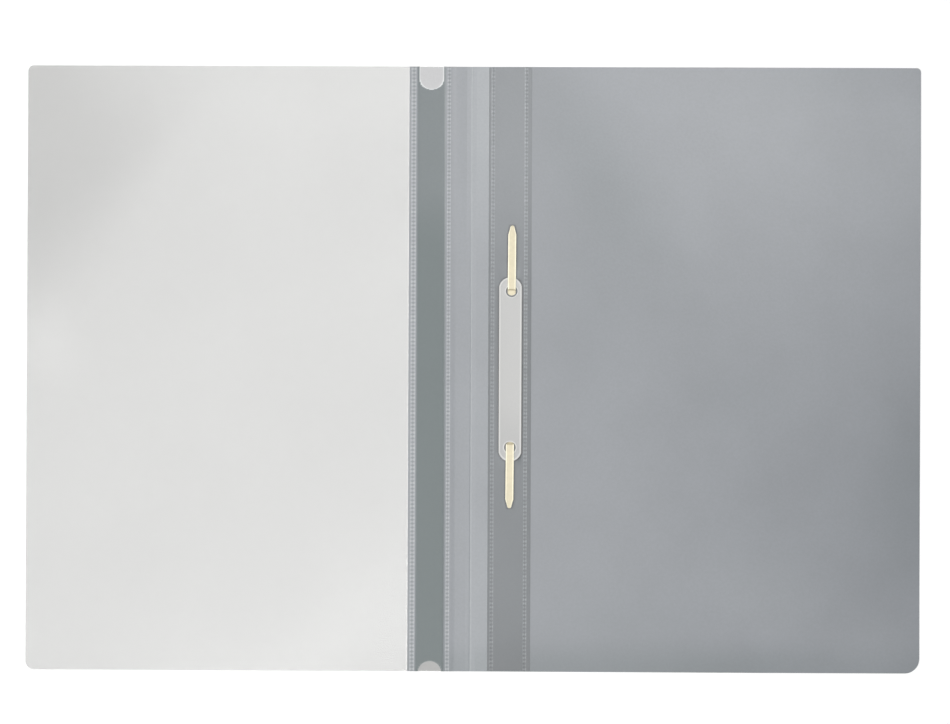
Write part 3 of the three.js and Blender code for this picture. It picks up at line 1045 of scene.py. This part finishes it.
@dataclass
class FastenerFilm:
    """The strip film that is welded over the fastener's base, with a hole round each prong's foot.

    The spans of its grid are given from the prongs' middle, and lie close over the holes and over
    the painted contact shadow round the bar. Painted shade darkens its margins across and stretches
    along it: each is a smooth step with its height, its start and its end.
    """

    left: float = 7.8
    right: float = 29.8
    near: WeldRow = WeldRow(9.9, 1.9, glow=0.0, land=0.3, pit=0.1)
    far: WeldRow = WeldRow(26.9, 1.8, glow=0.0, land=0.4, pit=0.1)
    length: float = 309.4
    spans: tuple[Span, ...] = (
        (-8.2, -6.7, 1),
        (-6.7, -5.8, 4),
        (-5.8, -3.6, 2),
        (-3.6, -1.2, 10),
        (-1.2, 1.2, 4),
        (1.2, 3.6, 10),
        (3.6, 5.4, 2),
        (5.4, 6.3, 4),
    )
    crown: float = 2.2
    lift: float = 0.5
    lift_gap: float = 0.3
    hole_radius: float = 2.4
    hole_reach: float = 38.95
    ridge_along: Pair = (54.45, 42.45)
    contact_shadow: float = 0.75
    groove_out: float = 0.25
    bar_shadow_width: float = 0.4
    prong_shadow_width: float = 0.35
    prong_halves: Pair = (2.1, 1.2)
    past_bar: Pair = (5.0, 7.0)
    tail_shade: float = 0.2
    margin_shades: tuple[Step, ...] = ((0.6, 9.2, 8.5), (0.38, 26.4, 27.9))
    shades_along: tuple[Step, ...] = (
        (0.62, 100.0, 35.0),
        (0.15, -20.0, -110.0),
        (0.25, -118.0, -150.0),
        (0.2, 112.0, 135.0),
    )

    def _ridge(self, x: Array, y: Array) -> Array:
        """The lift over the base: a smooth step up and down across, times one up and down along.

        Args:
            x: the points' places across.
            y: the points' places along.

        Returns:
            The heights.
        """
        near = self.near.x + self.near.width / 2 + self.lift_gap
        far = self.far.x - self.far.width / 2 - self.lift_gap
        rise = smooth(x, near, LAYOUT.prong_x - self.crown)
        fall = smooth(x, LAYOUT.prong_x + self.crown, far)
        along = smooth(np.abs(y - LAYOUT.fastener_y), *self.ridge_along)
        return self.lift * (rise - fall) * along

    def _contact_shadows(self, x: Array, y: Array) -> Array:
        """Painted contact shadows round the bar's edge and, beyond the bar, round the prongs' edges:
        each is a bell curve of the distance from an outline. The bar's has straight sides and round
        ends, and a prong's has straight sides and a tapered tip.

        Args:
            x: the points' places across.
            y: the points' places along.

        Returns:
            The strength of the stronger shadow.
        """
        half = LAYOUT.bar_half_width
        across = np.abs(x - LAYOUT.prong_x - LAYOUT.bar_offset)
        beyond = np.clip(np.abs(y - LAYOUT.bar_y) - LAYOUT.bar_half_length + half, 0, None)
        away = np.hypot(across, beyond) - half
        bar = bell(away, self.groove_out, self.bar_shadow_width)
        reach = np.abs(y - LAYOUT.fastener_y) - LAYOUT.riser_reach
        axis = LAYOUT.prong_x + LAYOUT.askew * (y - LAYOUT.fastener_y)
        taper = (LAYOUT.prong_shoulder, LAYOUT.prong_length)
        across = np.abs(x - axis) - np.interp(reach, taper, self.prong_halves)
        beyond = reach - LAYOUT.prong_length
        away = np.where(beyond > 0, np.hypot(np.clip(across, 0, None), beyond), across)
        prongs = bell(away, self.groove_out, self.prong_shadow_width)
        return np.maximum(bar, prongs * smooth(reach, *self.past_bar))

    def build(self) -> list[Object]:
        """Makes and dresses the strip film.

        Returns:
            The pieces.
        """
        middle = LAYOUT.prong_x
        xs = stations(
            (self.left, self.near.steps()[0], 2),
            self.near.steps(count=7),
            *((middle + start, middle + end, steps) for start, end, steps in self.spans),
            self.far.steps(count=7),
            (self.far.steps()[1], self.right, 3),
        )
        sheet = Film.over(xs, LAYOUT.rows(self.length, self.near.pitch))
        for end in End:
            y = end.value * self.hole_reach
            centre = (middle + LAYOUT.askew * y, LAYOUT.fastener_y + y)
            sheet.cut_slot(centre, self.hole_radius, 0)
        pits, pale, pressed = marks((self.near, self.far), sheet.x, sheet.y)
        # Painted contact shadows round the bar and the prongs, and painted shade towards the tail.
        pressed += self.contact_shadow * self._contact_shadows(sheet.x, sheet.y)
        pressed += self.tail_shade * LAYOUT.at_tail(sheet.y)
        # Painted shade on the strip's margins and along its length.
        apart = ramps(sheet.x, *self.margin_shades) + ramps(sheet.y, *self.shades_along)
        sheet.low = LAYOUT.sheet_thickness + self._ridge(sheet.x, sheet.y)
        sheet.high = sheet.low + LAYOUT.strip_thickness - self.near.depth * pits
        film = sheet.piece("fastener_film", STRIP, apart=apart, welded=pale, pressed=pressed)
        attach(film, Body.BACK.value)
        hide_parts("fastener_strip")
        return [film]


@dataclass
class SteelFastener:
    """The two-prong fastener: one steel strip, bent up at both ends and folded out over the bar."""

    width: float = 4.2
    hem: float = 0.55
    bead_inset: float = 0.225
    bead_width: float = 0.28125
    nose: float = 2.3
    nose_length: float = 1.3
    nose_flat: float = 0.5
    bend: float = 0.4
    fold: float = 0.42
    across: int = 22
    bend_steps: int = 12
    tip_steps: int = 10

    def _section(self, hemmed: Array) -> tuple[Array, Array]:
        """The strip's section at each station of its path.

        Half its thickness is that of the plain strip, and rises by a bell curve beside both edges
        where the edge is hemmed; an ellipse rounds off the last stretch before each edge.

        Args:
            hemmed: for each station, how far the hem is formed, from nought to one.

        Returns:
            For each station and each point of the section, the way across and the way out.
        """
        turn = np.linspace(0, np.pi, self.across)
        u = -np.cos(turn) * self.width / 2
        inset = self.width / 2 - np.abs(u)
        bead = bell(inset, self.bead_inset, self.bead_width)
        round_off = np.sqrt(np.clip(1 - (1 - inset / (self.hem / 2)) ** 2, 0, 1))
        round_off = np.where(inset < self.hem / 2, round_off, 1)
        plain = LAYOUT.steel_thickness / 2
        extra = (self.hem - LAYOUT.steel_thickness) / 2
        half = (plain + extra * hemmed[:, None] * bead) * round_off
        x = np.concatenate([u, u[-2:0:-1]])
        out = np.concatenate([half, -half[:, -2:0:-1]], 1)
        return np.broadcast_to(x, out.shape), out

    def _sweep(
        self,
        name: str,
        path: Array,
        start: float,
        way: int,
        hemmed: Array,
        narrow: Array,
    ) -> Object:
        """Carries the section along a path in the YZ plane.

        A point is the path's place, plus its way out times the path's left side, and its way
        across, times the station's share of the width, along X. Both ends are closed with one face
        each. A path that runs towards the tail is mirrored, so its faces are turned round.

        Args:
            name: the piece's name.
            path: y and z of each station.
            start: where the path's y is nought, from the fastener's middle.
            way: 1 or -1, the way along Y in which the path's y rises.
            hemmed: how far the hem is formed at each station.
            narrow: the share of the width at each station.

        Returns:
            The object.
        """
        across, out = self._section(hemmed)
        ahead = np.gradient(path, axis=0)
        ahead /= np.linalg.norm(ahead, axis=1, keepdims=True)
        beyond = way * (start + path[:, :1] - out * ahead[:, 1:])
        z = path[:, 1:] + out * ahead[:, :1]
        x = LAYOUT.prong_x + across * narrow[:, None] + LAYOUT.askew * beyond
        inset = self.width / 2 - np.abs(across)
        # Painted highlight along the hems.
        rubbed = bell(inset, self.hem / 2, self.hem / 2) * hemmed[:, None]
        points = np.stack([x, LAYOUT.fastener_y + beyond, z], -1).reshape(-1, 3)
        numbers = np.arange(x.size).reshape(x.shape)
        faces = [*tube(numbers), numbers[0, ::-1].tolist(), numbers[-1].tolist()]
        if way < 0:
            faces = [face[:1] + face[:0:-1] for face in faces]
        made = make_object(name, points, faces, STEEL, {"rubbed": rubbed}, crease=50.0)
        return made

    def _arc(self, centre: Pair, radius: float, start: float, end: float) -> Array:
        """Points on an arc in the YZ plane, from one angle to another.

        Args:
            centre: y and z of its middle.
            radius: its radius.
            start: the first angle in degrees from +Y towards +Z.
            end: the last angle.

        Returns:
            The y and z of each point.
        """
        turn = np.radians(np.linspace(start, end, self.bend_steps + 1))
        return np.stack([centre[0] + radius * np.cos(turn), centre[1] + radius * np.sin(turn)], 1)

    def _base(self) -> Object:
        """Makes the base: down from one riser, along under the film and up the other.

        Returns:
            The object.
        """
        reach, bend = LAYOUT.riser_reach, self.bend
        low = LAYOUT.sheet_thickness + LAYOUT.fit + LAYOUT.steel_thickness / 2
        left = self._arc((bend - reach, low + bend), bend, 180, 270)
        right = self._arc((reach - bend, low + bend), bend, 270, 360)
        ends = np.array([[-reach, LAYOUT.riser_top], [reach, LAYOUT.riser_top]])
        path = np.concatenate([ends[:1], left, right, ends[1:]])
        plain = np.zeros(len(path))
        return self._sweep("steel_base", path, 0, 1, plain, plain + 1)

    def _prong(self, end: End) -> Object:
        """Makes one prong: up from its riser, round the fold and out flat to its tip.

        The tip narrows straight to its nose, which is an ellipse cut short of its point.

        Args:
            end: the end of the spine that it points to.

        Returns:
            The object.
        """
        low = LAYOUT.fold_z - self.fold
        foot = np.stack([np.zeros(3), np.linspace(LAYOUT.riser_top, low, 4)[:3]], 1)
        fold = self._arc((self.fold, low), self.fold, 180, 90)
        flat = np.linspace(self.fold, LAYOUT.prong_shoulder, 12)[1:]
        turn = np.linspace(0, math.acos(self.nose_flat / self.nose), self.tip_steps + 1)
        short = self.nose_length * (1 - np.sin(turn) / math.sin(turn[-1]))
        round_end = LAYOUT.prong_length - short
        reach = np.concatenate([flat, round_end])
        level = np.full_like(reach, LAYOUT.fold_z)
        path = np.concatenate([foot, fold, np.stack([reach, level], 1)])
        narrow = np.ones(len(path))
        narrow[-len(turn) :] = self.nose / self.width * np.cos(turn)
        hemmed = smooth(np.arange(len(path), dtype=float), 1, len(foot) + len(fold) / 2)
        name = f"prong_{end.name.lower()}"
        return self._sweep(name, path, LAYOUT.riser_reach, end.value, hemmed, narrow)

    def build(self) -> list[Object]:
        """Makes and dresses the base and both prongs.

        Returns:
            The pieces.
        """
        base = self._base()
        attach(base, Body.BACK.value)
        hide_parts("fastener_base")
        made = [base]
        nodes = {End.HEAD: "prong_top", End.TAIL: "prong_bottom"}
        for end in End:
            prong = self._prong(end)
            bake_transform(prong)
            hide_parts(nodes[end])
            made.append(prong)
        return made


@dataclass
class PressBar:
    """The hold-down bar: straight sides, nearly half-round ends, a bead along its edge and a raised
    rim round each hole."""

    end_radius: float = 6.05
    hole_radius: float = 2.85
    hole_reach: float = 40.0
    low: float = 1.0
    high: float = 1.9
    sunk: float = 0.1
    edge_band: float = 1.25
    hole_band: float = 0.95
    face_highlight: float = 0.24
    highlight_along: Pair = (-42.0, -12.0)
    arc_steps: int = 48
    side_steps: int = 24
    hole_steps: int = 64

    def _outline(self) -> tuple[Array, Array]:
        """The bar's outline and the direction into the bar at each point.

        Each end is an arc of the end's radius, and straight sides join the arcs.

        Returns:
            The points and the inward directions.
        """
        half_width = LAYOUT.bar_half_width
        opening = math.asin(half_width / self.end_radius)
        centre = LAYOUT.bar_half_length - self.end_radius
        turn = np.pi / 2 + np.linspace(-opening, opening, self.arc_steps + 1)
        arc = np.stack([np.cos(turn), np.sin(turn)], 1)
        head = arc * self.end_radius + [0, centre]
        corner = head[-1, 1]
        side = np.linspace(corner, -corner, self.side_steps + 1)[1:-1]
        left = np.stack([np.full_like(side, -half_width), side], 1)
        points = np.concatenate([head, left, -head, -left]) + [LAYOUT.bar_offset, 0]
        inward = np.concatenate([-arc, np.tile([1.0, 0.0], (len(side), 1))])
        return points, np.concatenate([inward, -inward])

    def _ring(self, points: Array, inward: Array, width: float) -> Array:
        """Carries the edge's profile round an outline: from the underside out to the edge, and in
        over the bead to the sunk face.

        Args:
            points: the outline.
            inward: the direction into the bar at each point of it.
            width: how far the profile reaches in from the outline.

        Returns:
            The points by profile point and outline point.
        """
        top, sunk = self.high, self.high - self.sunk
        profile = [
            (1.0, self.low),
            (0.28, self.low),
            (0.09, self.low + 0.06),
            (0.0, self.low + 0.22),
            (0.0, top - 0.26),
            (0.05, top - 0.13),
            (0.15, top - 0.04),
            (0.3, top),
            (0.46, top),
            (0.62, top - 0.03),
            (0.8, sunk + 0.02),
            (1.0, sunk),
        ]
        shares, heights = np.array(profile).T[..., None, None]
        flat = points + shares * width * inward
        return np.concatenate([flat, np.broadcast_to(heights, (*flat.shape[:2], 1))], -1)

    def _highlights(self, ring: Array) -> Array:
        """How strong the painted highlight is at each point of a ring: one on the bead, and a little
        on the sunk face, which is duller towards the tail.

        Args:
            ring: the points.

        Returns:
            The shares.
        """
        bead = np.clip((ring[..., 2] - self.high + self.sunk) / self.sunk, 0, 1)
        face = self.face_highlight * smooth(ring[..., 1], *self.highlight_along)
        return np.maximum(bead, face).ravel()

    def build(self) -> list[Object]:
        """Makes and dresses the bar.

        The rings round the edge and round both holes are joined by two flat faces with holes.

        Returns:
            The pieces.
        """
        outline, inward = self._outline()
        rings = [self._ring(outline, inward, self.edge_band)]
        turn = np.linspace(0, 2 * np.pi, self.hole_steps, endpoint=False)
        circle = np.stack([np.cos(turn), -np.sin(turn)], 1)
        for end in End:
            y = end.value * self.hole_reach
            hole = circle * self.hole_radius + [LAYOUT.askew * y, y]
            rings.append(self._ring(hole, circle, self.hole_band))
        firsts = np.cumsum([0] + [ring[..., 0].size for ring in rings])
        grids = [
            first + np.arange(ring[..., 0].size).reshape(ring.shape[:2])
            for first, ring in zip(firsts, rings)
        ]
        faces = [face for grid in grids for face in tube(grid)]
        for level, way in ((0, -1), (-1, 1)):
            loops = [ring[level] * [1, 1, 0] for ring in rings]
            numbers = np.concatenate([grid[level] for grid in grids])
            corners = np.array(tessellate_polygon([loop.tolist() for loop in loops]))
            p, q, r = np.concatenate(loops)[corners].transpose(1, 0, 2)
            wrong = np.cross(q - p, r - p)[:, 2] * way < 0
            corners[wrong] = corners[wrong, ::-1]
            faces += numbers[corners].tolist()
        points = np.concatenate([ring.reshape(-1, 3) for ring in rings])
        points[:, :2] += [LAYOUT.prong_x, LAYOUT.bar_y]
        edge = np.concatenate([self._highlights(ring) for ring in rings])
        bar = make_object("press_bar", points, faces, PLASTIC, {"rubbed": edge}, crease=40.0)
        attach(bar, Body.BAR.value)
        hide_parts("hold_down_bar")
        return [bar]


# Studio


@dataclass(frozen=True)
class Softbox:
    """A flat rectangular light that faces the middle of the bench. Its place and size are in metres,
    and its turn is that of its width about the upright, in radians."""

    name: str
    place: tuple[float, float, float]
    size: Pair
    turn: float
    radiance: float

    def hang(self) -> None:
        """Puts the light in the scene, with the power that its area and radiance ask for."""
        data = bpy.data.lights.new(self.name, "AREA")
        data.shape = "RECTANGLE"
        data.size, data.size_y = self.size
        data.energy = math.pi * data.size * data.size_y * self.radiance
        lamp = bpy.data.objects.new(self.name, data)
        away = Vector(self.place).normalized()
        across = Vector((math.cos(self.turn), math.sin(self.turn), 0))
        across = (across - away * across.dot(away)).normalized()
        facing = Matrix((across, away.cross(across), away)).transposed()
        lamp.matrix_world = Matrix.Translation(self.place) @ facing.to_4x4()
        lamp.visible_camera = False
        bpy.context.scene.collection.objects.link(lamp)


@dataclass
class Studio:
    """The bench, the soft lights and the camera straight above.

    Five softboxes hang where the folder's films mirror them in broad patches. A small, distant one
    at the left gives the fastener its narrow shadows.
    """

    lens: float = 85.0
    camera_place: tuple[float, float, float] = (7.16, -2.43, 1150.3)
    camera_turn: tuple[float, float, float] = (0.298, 0.304, 0.232)
    bench_size: float = 9.0
    bench_low: float = -12.0
    bench_high: float = -0.02
    softboxes: tuple[Softbox, ...] = (
        Softbox("head_softbox", (0.011, 0.384, 1.5), (0.989, 0.264), -0.13, 3.91),
        Softbox("corner_softbox", (0.324, 0.394, 1.5), (0.292, 0.596), 0.548, 9.0),
        Softbox("tail_softbox", (-0.136, -0.336, 1.5), (0.951, 1.168), 0.872, 3.83),
        Softbox("side_softbox", (-0.307, -0.412, 1.5), (0.1, 0.774), -1.046, 3.51),
        Softbox("spine_softbox", (0.0, 0.27, 1.5), (0.16, 0.34), 0.0, 2.5),
        Softbox("left_key", (-2.0, 0.6, 2.9), (0.35, 0.35), 0.0, 116.0),
    )
    sky: float = 0.12

    def _camera(self) -> None:
        """Puts the camera where the folder's corners fall on the photograph's."""
        data = bpy.data.cameras.new("camera")
        data.lens = self.lens
        data.clip_start = 0.01
        camera = bpy.data.objects.new("camera", data)
        camera.location = [part * MM for part in self.camera_place]
        camera.rotation_euler = Euler([math.radians(part) for part in self.camera_turn])
        bpy.context.scene.collection.objects.link(camera)
        bpy.context.scene.camera = camera

    def _lights(self) -> None:
        """Hangs the softboxes and adds an even, dim room light."""
        for softbox in self.softboxes:
            softbox.hang()
        world = bpy.data.worlds.new("room")
        world.use_nodes = True
        world.node_tree.nodes["Background"].inputs["Color"].default_value = (1, 1, 1, 1)
        world.node_tree.nodes["Background"].inputs["Strength"].default_value = self.sky
        bpy.context.scene.world = world
        bpy.context.scene.view_settings.view_transform = "Standard"

    def _bench(self) -> None:
        """Lays the bench under the folder, a hair below it."""
        half = self.bench_size / 2 / MM
        sheet = Film.over(stations((-half, half, 4)), stations((-half, half, 4)))
        sheet.low += self.bench_low
        sheet.high += self.bench_high
        sheet.piece("bench", BENCH)

    def build(self) -> None:
        """Sets up everything round the folder."""
        self._camera()
        self._lights()
        self._bench()


def main() -> None:
    """Builds the studio and the folder's pieces in order, and reports each piece."""
    logging.basicConfig(level=logging.INFO, format="%(message)s")
    Studio().build()
    parts = (ClearFront(), LabelPocket(), GreyBack(), FastenerFilm(), SteelFastener(), PressBar())
    for part in parts:
        for piece in part.build():
            mesh = piece.data
            LOG.info("%s: %d faces, %s", piece.name, len(mesh.polygons), mesh.materials[0].name)


if __name__ == "__main__":
    main()
